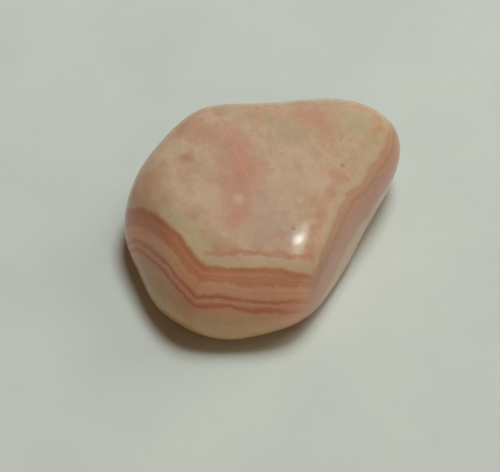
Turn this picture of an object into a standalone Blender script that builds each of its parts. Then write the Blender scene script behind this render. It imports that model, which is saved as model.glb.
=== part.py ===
"""A tumble-polished rhodochrosite pebble, lying on its flattest side.

The stone is one solid with two dozen worn facets. Each facet has the way it faces and its distance
from the stone's core, and a power mean blends it into its neighbours, as tumbling rounds the edges
of a broken piece. A few low swells soften the corners, and the belly has a small flat where the
stone rests. Metres, +Z up, origin on the rest face, below the middle of the stone's box.
"""

import math

import bmesh
import bpy
import numpy as np
from mathutils import Vector

MM = 0.001

STONE_NAME = "pebble"
COLLECTION_NAME = "rhodochrosite pebble"

# How crisply the worn facets meet: a higher power keeps more of each edge.
EDGE_POWER = 10.0

# Worn facets: compass angle from +X, elevation (both in degrees), distance from the core (mm).
FACETS = {
    "top": (-70, 87, 7.0),
    "front brow": (-80, 76, 7.2),
    "right brow": (-10, 76, 7.7),
    "back brow": (85, 82, 8.5),
    "left brow": (170, 80, 8.4),
    "front": (-88, 18, 11.3),
    "front underside": (-72, -34, 11.5),
    "heel": (238, -30, 14.5),
    "front left": (207, 24, 12.3),
    "left underside": (213, -22, 13.7),
    "left": (174, 0, 15.1),
    "back left": (143, 18, 12.9),
    "back left underside": (140, -34, 13.0),
    "back": (96, 24, 11.9),
    "back girth": (92, -4, 13.8),
    "back underside": (95, -36, 12.4),
    "shoulder": (49, 22, 16.5),
    "back right": (14, 10, 18.2),
    "back right underside": (32, -34, 16.7),
    "right": (-29, 10, 9.3),
    "right underside": (-29, -20, 9.6),
    "back keel": (92, -62, 8.7),
    "right keel": (10, -62, 10.5),
    "belly": (90, -90, 5.0),
}

# Low swells: compass angle, elevation and angular reach (degrees), height (mm).
SWELLS = {
    "back left corner": (121, 31, 16, 0.55),
    "back shoulder": (48, 26, 18, 0.55),
    "back right end": (16, 8, 14, 0.3),
    "right foot, at the back": (-12, -25, 14, 0.25),
    "right foot, behind the middle": (-28, -25, 14, 0.25),
    "right foot, before the middle": (-44, -25, 14, 0.25),
    "right foot, at the front": (-61, -25, 14, 0.4),
    "front heel": (256, -26, 14, 0.3),
    "left heel": (218, -16, 14, 0.7),
    "belly": (90, -90, 32, 0.4),
}

# Depth of the worn flat below the belly's own curve (mm).
REST_FLAT_DEPTH = 0.25

# The sphere that is worn down: level 5 has 5,120 triangles.
SPHERE_LEVEL = 5

# Pink-brown polished stone, linear colour.
STONE_COLOUR = (0.43, 0.25, 0.17, 1.0)
STONE_ROUGHNESS = 0.14


def clear_scene():
    for item in list(bpy.data.objects):
        bpy.data.objects.remove(item, do_unlink=True)


def facing(compass, elevation):
    """The unit vector for a compass angle and an elevation."""
    turn = math.radians(compass)
    rise = math.radians(elevation)
    return np.array([math.cos(rise) * math.cos(turn), math.cos(rise) * math.sin(turn), math.sin(rise)])


def facet_reach(way):
    """Distance from the core to the blended facets along a unit vector."""
    total = 0.0
    for compass, elevation, distance in FACETS.values():
        share = max(0.0, float(way @ facing(compass, elevation))) / distance
        total += share ** EDGE_POWER
    return total ** (-1.0 / EDGE_POWER)


def swell_height(way):
    """Extra height of the low swells along a unit vector."""
    height = 0.0
    for compass, elevation, reach, rise in SWELLS.values():
        cosine = float(np.clip(way @ facing(compass, elevation), -1.0, 1.0))
        away = math.degrees(math.acos(cosine))
        height += rise * math.exp(-((away / reach) ** 2))
    return height


def wear_sphere(stone):
    """Move each point of the unit sphere out to the stone's surface."""
    for point in stone.verts:
        way = np.array(point.co.normalized())
        reach = facet_reach(way) + swell_height(way)
        point.co = Vector(way * reach * MM)


def flatten_belly(stone):
    """Cut the belly off level, and close the cut with one flat face."""
    lowest = min(point.co.z for point in stone.verts)
    level = lowest + REST_FLAT_DEPTH * MM
    everything = stone.verts[:] + stone.edges[:] + stone.faces[:]
    cut = bmesh.ops.bisect_plane(
        stone,
        geom=everything,
        dist=1e-7,
        plane_co=(0.0, 0.0, level),
        plane_no=(0.0, 0.0, -1.0),
        clear_outer=True,
    )
    rim = [part for part in cut["geom_cut"] if isinstance(part, bmesh.types.BMEdge)]
    bmesh.ops.contextual_create(stone, geom=rim)


def stand_on_origin(stone):
    """Put the origin on the rest face, below the middle of the stone's box."""
    spots = np.array([point.co for point in stone.verts])
    middle = (spots.min(axis=0) + spots.max(axis=0)) / 2.0
    shift = Vector((-middle[0], -middle[1], -spots[:, 2].min()))
    bmesh.ops.translate(stone, vec=shift, verts=stone.verts)


def stone_material():
    material = bpy.data.materials.new("polished rhodochrosite")
    material.use_nodes = True
    shader = material.node_tree.nodes["Principled BSDF"]
    shader.inputs["Base Color"].default_value = STONE_COLOUR
    shader.inputs["Roughness"].default_value = STONE_ROUGHNESS
    shader.inputs["Metallic"].default_value = 0.0
    return material


def make_pebble(collection):
    stone = bmesh.new()
    bmesh.ops.create_icosphere(stone, subdivisions=SPHERE_LEVEL, radius=1.0)
    wear_sphere(stone)
    flatten_belly(stone)
    stand_on_origin(stone)
    bmesh.ops.recalc_face_normals(stone, faces=stone.faces)
    mesh = bpy.data.meshes.new(STONE_NAME)
    stone.to_mesh(mesh)
    stone.free()
    mesh.shade_smooth()
    mesh.set_sharp_from_angle(angle=math.radians(30))
    mesh.materials.append(stone_material())
    pebble = bpy.data.objects.new(STONE_NAME, mesh)
    collection.objects.link(pebble)
    return pebble


def main():
    clear_scene()
    collection = bpy.data.collections.new(COLLECTION_NAME)
    bpy.context.scene.collection.children.link(collection)
    make_pebble(collection)


main()
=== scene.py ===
import bpy
import math
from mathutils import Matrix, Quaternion, Vector


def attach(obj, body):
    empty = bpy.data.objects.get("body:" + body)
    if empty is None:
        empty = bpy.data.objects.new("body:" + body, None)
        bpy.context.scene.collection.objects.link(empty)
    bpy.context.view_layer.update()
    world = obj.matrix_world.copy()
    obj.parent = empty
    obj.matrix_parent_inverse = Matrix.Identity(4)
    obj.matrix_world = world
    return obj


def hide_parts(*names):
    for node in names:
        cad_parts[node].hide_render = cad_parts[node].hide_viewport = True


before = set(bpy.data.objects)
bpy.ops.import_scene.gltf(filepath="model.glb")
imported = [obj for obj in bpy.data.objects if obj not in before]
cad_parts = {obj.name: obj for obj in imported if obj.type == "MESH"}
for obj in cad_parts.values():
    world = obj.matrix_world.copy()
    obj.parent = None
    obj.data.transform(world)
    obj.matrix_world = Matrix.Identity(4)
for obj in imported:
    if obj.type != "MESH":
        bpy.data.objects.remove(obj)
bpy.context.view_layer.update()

mm = 0.001

# the stone's heart: its layers, its patches, the lamps and the camera are measured from here
stoneHeart = Vector((-0.09, -0.26, 5.15)) * mm


def deselectAll():
    bpy.ops.object.select_all(action="DESELECT")


def pickOnly(thing):
    deselectAll()
    thing.select_set(True)
    bpy.context.view_layer.objects.active = thing


def applyModifier(thing, kind, **settings):
    step = thing.modifiers.new(kind.lower(), kind)
    for name, value in settings.items():
        setattr(step, name, value)
    pickOnly(thing)
    bpy.ops.object.modifier_apply(modifier=step.name)


stoneShape = {
    "mergeGap": 0.001,     # mm, within which two points of the solid are one
    "patternLevels": 2,    # rounding of the solid before the ball is drawn onto it
    "ballRadius": 25.0,    # mm, which leaves the ball clear of the solid all round
    "ballSteps": 7,        # fineness of the ball
    "softPasses": 10,      # smoothing that the tumbler's polish gives
    "softShare": 0.5,      # how far a pass takes each point to its neighbours' middle
    "waveSpacing": 5.0,    # mm between the shallow waves in the polish
    "waveDepth": 0.03,     # mm
}


def makePattern():
    pattern = bpy.data.objects.new("stonePattern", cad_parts["pebble"].data.copy())
    bpy.context.scene.collection.objects.link(pattern)
    pickOnly(pattern)
    bpy.ops.object.mode_set(mode="EDIT")
    bpy.ops.mesh.select_all(action="SELECT")
    bpy.ops.mesh.remove_doubles(threshold=stoneShape["mergeGap"] * mm)
    bpy.ops.object.mode_set(mode="OBJECT")
    levels = stoneShape["patternLevels"]
    applyModifier(pattern, "SUBSURF", levels=levels, render_levels=levels)
    return pattern


def makeStone():
    pattern = makePattern()
    deselectAll()
    bpy.ops.mesh.primitive_ico_sphere_add(subdivisions=stoneShape["ballSteps"],
                                          radius=stoneShape["ballRadius"] * mm, location=stoneHeart)
    stone = bpy.context.object
    stone.name = "polishedStone"
    stone.data.name = "polishedStone"
    applyModifier(stone, "SHRINKWRAP", target=pattern, wrap_method="PROJECT",
                  use_negative_direction=True, use_positive_direction=False)
    bpy.data.objects.remove(pattern)
    applyModifier(stone, "SMOOTH", iterations=stoneShape["softPasses"], factor=stoneShape["softShare"])
    pickOnly(stone)
    bpy.ops.object.transform_apply(location=True, rotation=True, scale=True)
    waves = bpy.data.textures.new("shallowWaves", "CLOUDS")
    waves.noise_scale = stoneShape["waveSpacing"] * mm
    applyModifier(stone, "DISPLACE", texture=waves, strength=stoneShape["waveDepth"] * mm,
                  mid_level=1.0, texture_coords="LOCAL")    # at this level the waves only go inwards
    pickOnly(stone)
    bpy.ops.object.shade_smooth()
    print("stone:", len(stone.data.polygons), "faces")
    return stone


# short ways to write shader nodes: a value is a number, a triple or another node's output
def addNode(tree, kind, **settings):
    node = tree.nodes.new("ShaderNode" + kind)
    for name, value in settings.items():
        setattr(node, name, value)
    return node


def feed(tree, socket, value):
    if isinstance(value, bpy.types.NodeSocket):
        tree.links.new(value, socket)
    else:
        socket.default_value = value


def calc(tree, operation, first, second=0.0, third=0.0):
    node = addNode(tree, "Math", operation=operation)
    for socket, value in zip(node.inputs, (first, second, third)):
        feed(tree, socket, value)
    return node.outputs[0]


def highest(tree, *values):
    top = values[0]
    for value in values[1:]:
        top = calc(tree, "MAXIMUM", top, value)
    return top


def shift(tree, operation, first, second=(0, 0, 0)):
    node = addNode(tree, "VectorMath", operation=operation)
    feed(tree, node.inputs[0], first)
    feed(tree, node.inputs["Scale" if operation == "SCALE" else 1], second)
    return node.outputs["Value" if operation in ("DOT_PRODUCT", "DISTANCE") else "Vector"]


def fade(tree, value, start, end, low=0.0, high=1.0):
    node = addNode(tree, "MapRange", interpolation_type="SMOOTHSTEP")
    feed(tree, node.inputs["Value"], value)
    for name, number in (("From Min", start), ("From Max", end), ("To Min", low), ("To Max", high)):
        node.inputs[name].default_value = number
    return node.outputs["Result"]


def nearness(tree, place, centre, reach, strength):
    return fade(tree, shift(tree, "DISTANCE", place, centre), reach, 0.0, 0.0, strength)


# inputs 6 and 7 are the Mix node's two colours
def blend(tree, amount, first, second, mode="MIX"):
    node = addNode(tree, "Mix", data_type="RGBA", blend_type=mode, clamp_factor=True)
    for socket, value in ((node.inputs[0], amount), (node.inputs[6], first), (node.inputs[7], second)):
        feed(tree, socket, value)
    return node.outputs[2]


def multiplied(tree, colour, change):
    return blend(tree, 1.0, colour, (*change, 1.0), "MULTIPLY")


fineLumps = 0.6      # how strong a noise's fine lumps are against its broad ones
noiseMiddle = 0.5    # the level that a noise varies about


# lumps are the mm between them, their detail and their seed, to which the number is added
def noise(tree, place, lumps, number=0):
    spacing, detail, seed = lumps
    node = addNode(tree, "TexNoise", noise_dimensions="4D")
    feed(tree, node.inputs["Vector"], place)
    settings = {"W": seed + number, "Scale": 1.0 / spacing, "Detail": detail, "Roughness": fineLumps}
    for name, value in settings.items():
        node.inputs[name].default_value = value
    return node


# noise about nought, for a colour, a depth or a roughness that varies
def unevenness(tree, place, lumps, amount, number=0):
    level = noise(tree, place, lumps, number).outputs["Fac"]
    return calc(tree, "MULTIPLY", calc(tree, "SUBTRACT", level, noiseMiddle), amount)


# a place moved about by noise, which bends whatever is drawn from it
def wander(tree, place, lumps, reach):
    drift = shift(tree, "SUBTRACT", noise(tree, place, lumps).outputs["Color"], (noiseMiddle,) * 3)
    return shift(tree, "ADD", place, shift(tree, "SCALE", drift, 2 * reach))


# a new finish and its shader, with the place in mm from a middle
def startFinish(name, middle):
    material = bpy.data.materials.new(name)
    material.use_nodes = True
    tree = material.node_tree
    where = addNode(tree, "TexCoord").outputs["Object"]
    place = shift(tree, "SCALE", shift(tree, "SUBTRACT", where, middle), 1 / mm)
    return material, tree, tree.nodes["Principled BSDF"], place


def addRelief(tree, shader, place, lumps, height):
    relief = addNode(tree, "Bump")
    relief.inputs["Distance"].default_value = height * mm
    feed(tree, relief.inputs["Height"], noise(tree, place, lumps).outputs["Fac"])
    feed(tree, shader.inputs["Normal"], relief.outputs["Normal"])


# the stone's colours, as chosen on a screen from 0 to 255
stoneColours = {
    "blush": (194, 160, 133),          # most of the inside
    "milk": (200, 175, 149),
    "lilac": (191, 163, 144),
    "tan": (180, 147, 117),
    "rose": (195, 148, 126),
    "brick": (184, 136, 111),
    "cream": (186, 168, 136),          # the band that edges the inside
    "rust": (174, 121, 85),            # the dark line along the cream band
    "salmon": (186, 129, 101),
    "lightSalmon": (192, 140, 110),
    "sand": (216, 173, 138),
    "redLine": (196, 124, 94),
    "pinkSand": (213, 164, 131),
    "olive": (200, 171, 133),
    "clay": (188, 152, 127),           # the right side's own shades, down to ivory
    "orchid": (199, 151, 133),
    "mauve": (195, 149, 130),
    "ivory": (209, 177, 149),
    "haze": (212, 163, 134),           # the healed crack, and where the front's lines fade, there partly as painted sheen
    "chalk": (216, 192, 172),          # the pale spot
    "soot": (92, 78, 66),              # the dark specks
}


# a screen's colour turned into the even scale of light that a shader takes
def paint(name):
    shades = [value / 255 for value in stoneColours[name]]
    return (*[((shade + 0.055) / 1.055) ** 2.4 for shade in shades], 1.0)


# the stone's noises: mm between the lumps, detail and seed
stoneNoises = {
    "fold": (2.6, 2.0, 1.0),
    "crinkle": (0.8, 2.0, 2.0),
    "fray": (0.5, 3.0, 5.0),             # each layer's ragged edge
    "waver": (1.3, 3.0, 6.0),            # each layer's uneven depth
    "patchDrift": (3.0, 2.0, 11.0),
    "patchCrinkle": (0.8, 2.0, 12.0),
    "crackCrinkle": (0.8, 2.0, 13.0),
    "mottling": (0.9, 4.0, 14.0),
    "patchClouds": (3.0, 4.0, 20.0),     # with the next seed for each next colour
    "streaks": (1.0, 3.0, 31.0),
    "grain": (0.35, 3.0, 32.0),
    "clouds": (1.2, 3.0, 33.0),
    "creamBreaks": (1.4, 3.0, 41.0),
    "lineWaves": (1.8, 3.0, 42.0),       # with the next seed for the second line
    "lineBreaks": (1.5, 3.0, 44.0),      # with the next seed for the second line
    "polish": (2.2, 3.0, 51.0),
    "dimples": (0.7, 3.0, 52.0),
}


# a place bent by several noises in turn, each with its own reach in mm
def folded(tree, place, folds):
    for name, reach in folds.items():
        place = wander(tree, place, stoneNoises[name], reach)
    return place


# outside the cream band, each layer shades into the next: mm of depth and colour
layerColours = {
    "sides": [
        (0.00, "rust"), (0.22, "rust"), (0.46, "salmon"), (0.62, "lightSalmon"), (0.82, "salmon"),
        (0.98, "lightSalmon"), (1.20, "lightSalmon"), (1.42, "haze"), (1.64, "sand"), (1.80, "pinkSand"),
        (2.05, "sand"), (2.30, "pinkSand"), (2.48, "redLine"), (2.60, "redLine"),
        (2.76, "pinkSand"), (2.94, "pinkSand"), (3.14, "redLine"), (3.26, "redLine"), (3.46, "pinkSand"),
        (4.20, "olive"), (6.60, "olive"),
    ],
    "right": [
        (0.00, "clay"), (0.60, "clay"), (0.95, "brick"), (1.30, "clay"), (2.10, "orchid"), (3.00, "orchid"),
        (3.60, "mauve"), (4.30, "ivory"), (5.20, "ivory"), (6.60, "orchid"),
    ],
}

# the layers lie in three sheets that meet in kinks. Each sheet faces its own way and starts at its
# depth from the heart, and its layers are stretched by so much and waver by ragged mm. Their colour is
# also multiplied by painted shading, lighter on the front and darker on the left and right.
# Bends are pairs of mm along the sheet and mm outwards, and the front's outer layers have their own.
layerSheets = {
    "left": {
        "faces": (-0.648, -0.615, -0.455), "depth": 6.76, "stretch": 1.12, "along": (-0.545, 0.787, -0.288),
        "paintedShading": (0.97, 0.94, 0.90), "ragged": 0.2,
        "bends": [(-7.0, -0.40), (-4.5, -0.17), (-3.0, 0.06), (-1.7, 0.33), (0.0, 0.28), (2.0, 0.13),
                  (3.5, -0.10), (5.0, -0.55), (7.0, -1.15)],
    },
    "front": {
        "faces": (-0.040, -0.930, -0.360), "depth": 7.16, "stretch": 1.0, "along": (-1.0, 0.035, 0.020),
        "paintedShading": (1.04, 1.08, 1.10), "ragged": 0.2,
        "bends": [(-6.0, 0.10), (-3.4, 0.00), (-2.8, 0.02), (-2.2, 0.20), (-0.7, 0.24), (0.6, 0.10),
                  (3.0, 0.07), (6.0, 0.10)],
        "outerBends": [(-6.0, 0.50), (-4.5, 0.40), (-3.0, 0.00), (-1.5, -0.10), (1.0, -0.20), (2.0, -0.15),
                       (3.3, 0.00), (6.0, 0.00)],
    },
    "right": {
        "faces": (0.730, -0.320, -0.610), "depth": 3.50, "stretch": 1.0, "along": (-0.437, -0.898, -0.051),
        "paintedShading": (0.95, 0.93, 0.91), "ragged": 0.9,
        "bends": [(-13.0, -0.65), (-9.0, -0.75), (-7.5, -0.42), (-5.0, -0.45), (-3.6, 0.18), (-1.5, 0.30),
                  (0.0, 0.25), (2.0, -0.17), (4.0, -0.52), (6.0, -1.00)],
    },
}

# the mm over which one thing turns into another
layerJoins = {
    "insideToLayers": (-0.32, 0.10),   # of depth
    "innerToOuter": (0.3, 2.2),        # of depth, from the front's bends to its outer ones
    "leftToFront": (-0.5, 0.5),        # that the front sheet lies further out than the left one
    "toRight": (-0.9, 0.5),            # that the right sheet lies further out than both
    "rightSpreads": (0.5, 3.0),        # of depth, while the right sheet gains 1 mm on the others
}

# how many mm each noise bends the layers by, and how ragged their edges are
layerFolds = {"fold": 0.28, "crinkle": 0.20}
edgeFray = 0.30

# where the front's layers fade into paler pink, partly the stone's own colour and partly painted sheen:
# centre, reach and strength
frontHazeAndSheen = ((4.6, -9.0, -1.0), 6.0, 0.9)


def bendAlong(tree, along, points):
    curve = addNode(tree, "FloatCurve")
    curve.mapping.use_clip = False
    line = curve.mapping.curves[0].points
    line[0].location, line[1].location = points[0], points[-1]
    for spot, rise in points[1:-1]:
        line.new(spot, rise)
    curve.mapping.update()
    feed(tree, curve.inputs["Value"], along)
    return curve.outputs[0]


def sheetDepth(tree, place, name):
    sheet = layerSheets[name]
    depth = shift(tree, "DOT_PRODUCT", place, Vector(sheet["faces"]).normalized())
    depth = calc(tree, "DIVIDE", calc(tree, "SUBTRACT", depth, sheet["depth"]), sheet["stretch"])
    along = shift(tree, "DOT_PRODUCT", place, Vector(sheet["along"]).normalized())
    bend = calc(tree, "ADD", bendAlong(tree, along, sheet["bends"]),
                unevenness(tree, place, stoneNoises["waver"], sheet["ragged"]))
    if "outerBends" in sheet:
        outer = fade(tree, depth, *layerJoins["innerToOuter"])
        inner = fade(tree, depth, *layerJoins["innerToOuter"], 1.0, 0.0)
        bend = calc(tree, "MULTIPLY_ADD", bendAlong(tree, along, sheet["outerBends"]), outer,
                    calc(tree, "MULTIPLY", bend, inner))
    return calc(tree, "ADD", depth, bend)


def ramp(tree, value, stops):
    length = stops[-1][0]
    node = addNode(tree, "ValToRGB")
    feed(tree, node.inputs["Fac"], calc(tree, "DIVIDE", value, length))
    elements = node.color_ramp.elements
    while len(elements) < len(stops):
        elements.new(0.5)
    for element, (place, name) in zip(elements, stops):
        element.position = place / length
    for element, (place, name) in zip(elements, stops):    # once the places have sorted the elements
        element.color = paint(name)
    return node.outputs["Color"]


# how far a place belongs to the right sheet, whose layers are soft where they meet the others
def rightShare(tree, depth, sheets):
    turned = calc(tree, "SUBTRACT", sheets["right"], highest(tree, sheets["left"], sheets["front"]))
    turned = calc(tree, "ADD", turned, fade(tree, depth, *layerJoins["rightSpreads"]))
    return fade(tree, turned, *layerJoins["toRight"])


def layersColour(tree, place, depth, sheets):
    # painted shading: the left and front are lit and shaded copies of the same layers, the right is
    # darkened
    left, front, right = [layerSheets[name]["paintedShading"] for name in ("left", "front", "right")]
    sides = ramp(tree, depth, layerColours["sides"])
    turned = calc(tree, "SUBTRACT", sheets["front"], sheets["left"])
    sides = blend(tree, fade(tree, turned, *layerJoins["leftToFront"]),
                  multiplied(tree, sides, left), multiplied(tree, sides, front))
    # the front's layers fade to haze here, partly painted sheen
    sides = blend(tree, nearness(tree, place, *frontHazeAndSheen), sides, paint("haze"))
    flank = multiplied(tree, ramp(tree, depth, layerColours["right"]), right)
    return blend(tree, rightShare(tree, depth, sheets), sides, flank)


# soft patches in the stone's inside: centre in mm from the heart, reach in mm and strength
innerPatches = {
    "milk": [((-5.7, 1.7, 6.6), 3.0, 0.7), ((-6.6, -0.6, 6.5), 2.4, 0.7), ((-4.9, -2.9, 6.3), 2.6, 0.8),
             ((3.6, 1.9, 6.4), 3.2, 0.8), ((5.4, -0.3, 6.0), 2.4, 0.8), ((1.9, -1.1, 6.3), 3.2, 0.6),
             ((-9.2, 3.8, 6.2), 2.4, 0.6), ((-4.6, -6.1, 5.8), 2.4, 0.6)],
    "lilac": [((0.5, -3.7, 6.1), 3.6, 0.8), ((2.0, -5.8, 5.6), 2.6, 0.7), ((-0.5, -6.0, 5.7), 2.4, 0.7)],
    "tan": [((-10.6, 0.4, 5.8), 2.4, 0.7), ((-10.0, -2.4, 5.6), 2.0, 0.7), ((-7.0, -3.9, 6.1), 1.6, 0.7),
            ((-5.6, -6.8, 5.7), 2.4, 0.9), ((-3.8, -7.8, 5.4), 2.0, 0.9)],
    "rose": [((-7.7, 6.4, 6.3), 2.6, 0.8), ((-5.7, 5.4, 6.7), 1.8, 0.7), ((-3.5, 4.4, 6.8), 3.2, 0.7),
             ((-1.9, 2.2, 6.7), 3.5, 0.7), ((-2.2, -0.1, 6.6), 3.8, 0.7), ((-2.6, -2.7, 6.3), 3.1, 0.6),
             ((-2.6, -4.3, 6.1), 2.2, 0.4), ((3.8, 7.7, 6.5), 2.3, 0.8), ((5.5, 8.3, 6.3), 2.0, 0.7),
             ((6.3, 6.5, 6.2), 1.8, 0.8), ((7.5, 0.9, 5.8), 1.5, 0.9)],
    "cream": [((-2.4, 8.1, 6.7), 2.0, 0.7), ((0.7, 7.1, 6.7), 1.8, 0.7), ((2.3, 5.6, 6.6), 1.9, 0.7),
              ((3.7, 4.7, 6.5), 1.6, 0.7), ((8.2, 7.2, 5.9), 3.2, 0.7), ((10.3, 7.5, 5.4), 3.0, 0.9),
              ((10.9, 4.8, 4.9), 2.8, 0.9), ((9.3, 2.5, 5.4), 2.2, 0.8), ((8.0, 0.2, 5.6), 1.6, 0.6),
              ((-11.0, -1.2, 5.2), 1.4, 0.6), ((-8.7, -4.1, 5.7), 1.8, 0.7), ((-7.5, -5.9, 5.6), 1.6, 0.8),
              ((-6.3, -7.2, 5.5), 2.0, 0.8)],
    "brick": [((-7.6, 2.4, 6.5), 1.1, 1.0), ((-9.8, 2.1, 6.2), 1.1, 0.5), ((6.5, -1.5, 5.7), 1.2, 0.5),
              ((5.7, -3.6, 5.5), 1.1, 0.4), ((-12.8, 0.4, 3.1), 1.2, 1.0)],
}

# how many mm each noise bends the patches by
patchFolds = {"patchDrift": 0.9, "patchCrinkle": 0.45}

# each patch colour also shows in loose clouds: the levels of noise at which they start and are full
patchClouds = {"levels": (0.52, 0.78), "strength": 0.5}

# the levels of noise between which blush turns into milk
mottlingLevels = (0.35, 0.65)

# small marks: centre, radius and how strongly they show
innerSpots = {
    "chalk": [((-2.4, -2.3, 6.3), 1.05, 0.5)],
    "soot": [((7.8, 2.2, 5.8), 0.28, 0.5), ((2.9, -5.3, 5.7), 0.36, 0.4), ((-8.9, -3.8, 5.7), 0.20, 0.4),
             ((-12.8, 0.6, 3.4), 0.40, 0.4)],
}

# the healed crack in the rose patch, from end to end, and how many mm it strays
healedCrack = {
    "start": (-2.9, 3.7, 6.7), "end": (-1.6, 0.4, 6.6),
    "width": 0.20, "strength": 0.5, "strays": 0.25,
}


def drawPatches(tree, colour, place):
    for number, (tone, patches) in enumerate(innerPatches.items()):
        cloud = noise(tree, place, stoneNoises["patchClouds"], number).outputs["Fac"]
        amount = fade(tree, cloud, *patchClouds["levels"], 0.0, patchClouds["strength"])
        for patch in patches:
            amount = calc(tree, "ADD", amount, nearness(tree, place, *patch))
        colour = blend(tree, amount, colour, paint(tone))
    return colour


def drawCrack(tree, colour, place):
    start, end = Vector(healedCrack["start"]), Vector(healedCrack["end"])
    way = (end - start).normalized()
    fromStart = shift(tree, "SUBTRACT", place, start)
    along = calc(tree, "MAXIMUM", shift(tree, "DOT_PRODUCT", fromStart, way), 0.0)
    along = calc(tree, "MINIMUM", along, (end - start).length)
    nearest = shift(tree, "SCALE", way, along)
    shown = nearness(tree, fromStart, nearest, healedCrack["width"], healedCrack["strength"])
    return blend(tree, shown, colour, paint("haze"))


def drawSpots(tree, colour, place):
    for tone, spots in innerSpots.items():
        for spot in spots:
            colour = blend(tree, nearness(tree, place, *spot), colour, paint(tone))
    return colour


# the cream along each sheet's first layer: mm in from its edge to its middle, its reach and strength
creamBands = {
    "left": {"middle": 0.80, "reach": 1.00, "strength": 0.9},
    "front": {"middle": 0.70, "reach": 0.80, "strength": 0.8},
    "right": {"middle": 0.38, "reach": 0.60, "strength": 0.9},
}

# thin wavy lines inside the cream: mm in from its edge, width and wave, and how strongly they show
creamLines = {
    "front": {"depth": 1.52, "width": 0.42, "wave": 1.5, "strength": 0.80},
    "right": {"depth": 1.60, "width": 0.80, "wave": 1.2, "strength": 0.20},
}

creamWear = {
    "level": 0.8,              # how strongly the bands show on the whole
    "breaks": 2.2,             # and how unevenly
    "lineBreaks": 1.6,         # how unevenly the lines show
    "core": 0.25,              # share of a band's or line's reach over which it is full
    "handover": (1.2, 0.2),    # mm that another sheet lies further out, where it is gone and where whole
}


# how near a place is to a line so far inside a sheet's edge, where that sheet is the outermost one
def besideSheet(tree, depth, sheet, inward, reach):
    apart = calc(tree, "ABSOLUTE", calc(tree, "ADD", sheet, inward))
    outermost = fade(tree, calc(tree, "SUBTRACT", depth, sheet), *creamWear["handover"])
    return calc(tree, "MULTIPLY", fade(tree, apart, reach, creamWear["core"] * reach), outermost)


def drawCreamBands(tree, colour, place, depth, sheets):
    broken = unevenness(tree, place, stoneNoises["creamBreaks"], creamWear["breaks"])
    broken = calc(tree, "ADD", broken, creamWear["level"])
    for name, band in creamBands.items():
        shown = besideSheet(tree, depth, sheets[name], band["middle"], band["reach"])
        shown = calc(tree, "MULTIPLY", calc(tree, "MULTIPLY", shown, broken), band["strength"])
        colour = blend(tree, shown, colour, paint("cream"))
    return colour


def drawCreamLines(tree, colour, place, depth, sheets):
    for number, (name, line) in enumerate(creamLines.items()):
        waves = unevenness(tree, place, stoneNoises["lineWaves"], line["wave"], number)
        wavy = calc(tree, "ADD", sheets[name], waves)
        shown = besideSheet(tree, depth, wavy, line["depth"], line["width"])
        broken = unevenness(tree, place, stoneNoises["lineBreaks"], creamWear["lineBreaks"], number)
        shown = calc(tree, "MULTIPLY", shown, calc(tree, "ADD", broken, line["strength"]))
        colour = blend(tree, shown, colour, paint("brick"))
    return colour


def insideColour(tree, place, depth, sheets):
    mottling = noise(tree, place, stoneNoises["mottling"]).outputs["Fac"]
    colour = blend(tree, fade(tree, mottling, *mottlingLevels), paint("blush"), paint("milk"))
    colour = drawPatches(tree, colour, folded(tree, place, patchFolds))
    strayed = wander(tree, place, stoneNoises["crackCrinkle"], healedCrack["strays"])
    colour = drawCrack(tree, colour, strayed)
    colour = drawCreamBands(tree, colour, place, depth, sheets)
    colour = drawCreamLines(tree, colour, place, depth, sheets)
    return drawSpots(tree, colour, place)


# the stone is made warmer towards its two ends: at the left end this is painted light, lifting the red
# where the lamps' light falls off; centre, reach, and what that does to red, green and blue
warmEnds = [
    ((-12.8, -1.0, 2.4), 5.2, (1.28, 0.94, 0.78)),
    ((13.2, 6.5, 2.0), 5.5, (1.01, 0.94, 0.87)),
]


def warmed(tree, colour, place):
    for centre, reach, change in warmEnds:
        near = nearness(tree, place, centre, reach, 1.0)
        colour = blend(tree, near, colour, multiplied(tree, colour, change))
    return colour


# how much lighter and darker the colour gets, in parts of one, and how its streaks lie
stoneGrain = {
    "streaks": 0.28,              # fine streaks along the layers
    "grain": 0.20,                # crystals too small to tell apart
    "clouds": 0.20,
    "streaksAcross": 5.0,         # times closer together across the layers
    "streaksAlong": 0.25,         # and along them
    "streakDepth": (-0.8, 0.3),   # mm of depth over which they come up
    "insideStreaks": 0.15,        # share of them that the inside has
}


def grained(tree, colour, place, depth):
    across = addNode(tree, "CombineXYZ")
    feed(tree, across.inputs["X"], calc(tree, "MULTIPLY", depth, stoneGrain["streaksAcross"]))
    along = shift(tree, "SCALE", place, stoneGrain["streaksAlong"])
    stretched = shift(tree, "ADD", along, across.outputs[0])
    streaks = unevenness(tree, stretched, stoneNoises["streaks"], stoneGrain["streaks"])
    shown = fade(tree, depth, *stoneGrain["streakDepth"], stoneGrain["insideStreaks"], 1.0)
    light = calc(tree, "MULTIPLY_ADD", streaks, shown, 1.0)
    for name in ("grain", "clouds"):
        light = calc(tree, "ADD", light, unevenness(tree, place, stoneNoises[name], stoneGrain[name]))
    grey = addNode(tree, "CombineColor")
    for socket in grey.inputs[:3]:
        feed(tree, socket, light)
    return blend(tree, 1.0, colour, grey.outputs[0], "MULTIPLY")


stonePolish = {
    "roughness": 0.10,
    "roughnessRange": 0.06,
    "ior": 1.4,
    "glow": 0.8,                      # how much of the light comes from under the surface
    "glowReach": 3.0,                 # mm
    "glowSpread": (1.0, 0.45, 0.3),   # parts of that reach for red, green and blue
    "dimple": 0.006,                  # mm deep, as the tumbler leaves them
}


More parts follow.
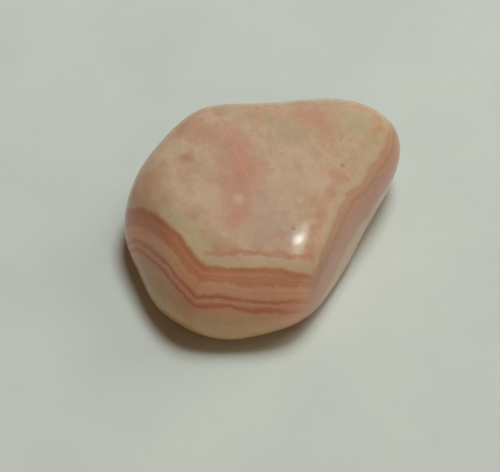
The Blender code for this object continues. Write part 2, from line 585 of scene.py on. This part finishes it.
def stoneFinish():
    material, tree, shader, place = startFinish("polishedRhodochrosite", stoneHeart)
    bent = folded(tree, place, layerFolds)
    sheets = {name: sheetDepth(tree, bent, name) for name in layerSheets}
    depth = highest(tree, *sheets.values())
    frayed = calc(tree, "ADD", depth, unevenness(tree, place, stoneNoises["fray"], edgeFray))
    inside = insideColour(tree, place, depth, sheets)
    layers = layersColour(tree, bent, frayed, sheets)
    colour = blend(tree, fade(tree, frayed, *layerJoins["insideToLayers"]), inside, layers)
    colour = grained(tree, warmed(tree, colour, place), place, depth)
    feed(tree, shader.inputs["Base Color"], colour)
    roughness = unevenness(tree, place, stoneNoises["polish"], stonePolish["roughnessRange"])
    feed(tree, shader.inputs["Roughness"], calc(tree, "ADD", roughness, stonePolish["roughness"]))
    addRelief(tree, shader, place, stoneNoises["dimples"], stonePolish["dimple"])
    shader.inputs["IOR"].default_value = stonePolish["ior"]
    shader.inputs["Subsurface Weight"].default_value = stonePolish["glow"]
    shader.inputs["Subsurface Radius"].default_value = stonePolish["glowSpread"]
    shader.inputs["Subsurface Scale"].default_value = stonePolish["glowReach"] * mm
    print("finish:", len(tree.nodes), "nodes in the stone")
    return material


paper = {
    "width": 4.0,                    # m
    "colour": (0.62, 0.65, 0.59), "shade": (0.58, 0.61, 0.56), "roughness": 0.9,
    "blotches": (14.0, 4.0, 61.0),   # mm between them, detail and seed
    "blotchLevels": (0.3, 0.7),      # levels of noise between which the colour turns into the shade
    "fibres": (0.8, 4.0, 62.0),      # mm between them, detail and seed
    "fibreHeight": 0.03,             # mm
}


def paperFinish():
    material, tree, shader, place = startFinish("palePaper", (0, 0, 0))
    blotches = fade(tree, noise(tree, place, paper["blotches"]).outputs["Fac"], *paper["blotchLevels"])
    colour = blend(tree, blotches, (*paper["colour"], 1.0), (*paper["shade"], 1.0))
    feed(tree, shader.inputs["Base Color"], colour)
    addRelief(tree, shader, place, paper["fibres"], paper["fibreHeight"])
    shader.inputs["Roughness"].default_value = paper["roughness"]
    return material


def makeFloor():
    deselectAll()
    bpy.ops.mesh.primitive_plane_add(size=paper["width"], location=(0, 0, 0))
    floor = bpy.context.object
    floor.name = "paleFloor"
    floor.data.materials.append(paperFinish())
    print("floor laid")


view = {
    "height": 55.0,        # degrees above the floor
    "distance": 220.0,     # mm from the stone's heart
    "aimLeft": 1.3,        # mm that the camera aims to the left of the heart
    "aimBelow": 1.8,       # mm that it aims below the heart
    "lens": 158.4,         # mm
    "sensorWidth": 36.0,   # mm
    "nearest": 0.01,       # m, closer than which nothing shows
}


def placeCamera():
    tilt = math.radians(view["height"])
    back = Vector((0, -math.cos(tilt), math.sin(tilt)))
    up = Vector((0, math.sin(tilt), math.cos(tilt)))
    spot = back * view["distance"] - Vector((1, 0, 0)) * view["aimLeft"] - up * view["aimBelow"]
    camera = bpy.data.objects.new("camera", bpy.data.cameras.new("camera"))
    camera.location = stoneHeart + spot * mm
    camera.rotation_euler = (math.radians(90) - tilt, 0, 0)
    camera.data.lens = view["lens"]
    camera.data.sensor_width = view["sensorWidth"]
    camera.data.sensor_fit = "HORIZONTAL"
    camera.data.clip_start = view["nearest"]
    bpy.context.scene.collection.objects.link(camera)
    bpy.context.scene.camera = camera
    print("camera:", view["height"], "degrees up")


studio = {
    "lampDistance": 600.0,            # mm from the stone's heart
    "airColour": (1.0, 0.55, 0.32),   # the faint light from all round
    "airStrength": 0.10,
}

# compass angle, height and roll in degrees, width and depth in mm, watts, colour, seen in the polish
lamps = {
    "sparkLamp": (29.9, 72.6, 22, 82, 40, 0.175, (0.85, 1.0, 0.93), True),
    "glowLamp": (15.9, 71.4, 15, 257, 98, 0.285, (0.85, 1.0, 0.93), True),
    "softLamp": (58.5, 74.0, 0, 195, 195, 2.16, (0.88, 0.97, 1.0), False),
    "paperLamp": (32.0, 45.0, 0, 300, 300, 0.62, (0.96, 0.96, 0.92), False),
    "fillLamp": (-84.0, 14.0, 0, 300, 300, 0.40, (1.0, 0.61, 0.38), False),
    "sideLamp": (-12.0, 14.0, 0, 300, 300, 0.28, (1.0, 0.84, 0.68), False),
}


def addLamp(name):
    compass, height, roll, width, depth, watts, colour, inPolish = lamps[name]
    turn, rise = math.radians(compass), math.radians(height)
    way = Vector((math.cos(rise) * math.cos(turn), math.cos(rise) * math.sin(turn), math.sin(rise)))
    aim = way.to_track_quat("Z", "Y") @ Quaternion((0, 0, 1), math.radians(roll))
    lamp = bpy.data.objects.new(name, bpy.data.lights.new(name, "AREA"))
    lamp.data.shape = "ELLIPSE"
    lamp.data.size = width * mm
    lamp.data.size_y = depth * mm
    lamp.data.energy = watts
    lamp.data.color = colour
    lamp.visible_glossy = inPolish
    lamp.location = stoneHeart + way * studio["lampDistance"] * mm
    lamp.rotation_euler = aim.to_euler()
    bpy.context.scene.collection.objects.link(lamp)


def lightStudio():
    for name in lamps:
        addLamp(name)
    world = bpy.data.worlds.new("studio")
    world.use_nodes = True
    air = world.node_tree.nodes["Background"]
    air.inputs["Color"].default_value = (*studio["airColour"], 1)
    air.inputs["Strength"].default_value = studio["airStrength"]
    bpy.context.scene.world = world
    bpy.context.scene.view_settings.view_transform = "Standard"
    print("studio:", len(lamps), "lamps")


placeCamera()
lightStudio()
makeFloor()
stone = makeStone()
stone.data.materials.append(stoneFinish())
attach(stone, "root")
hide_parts("pebble")
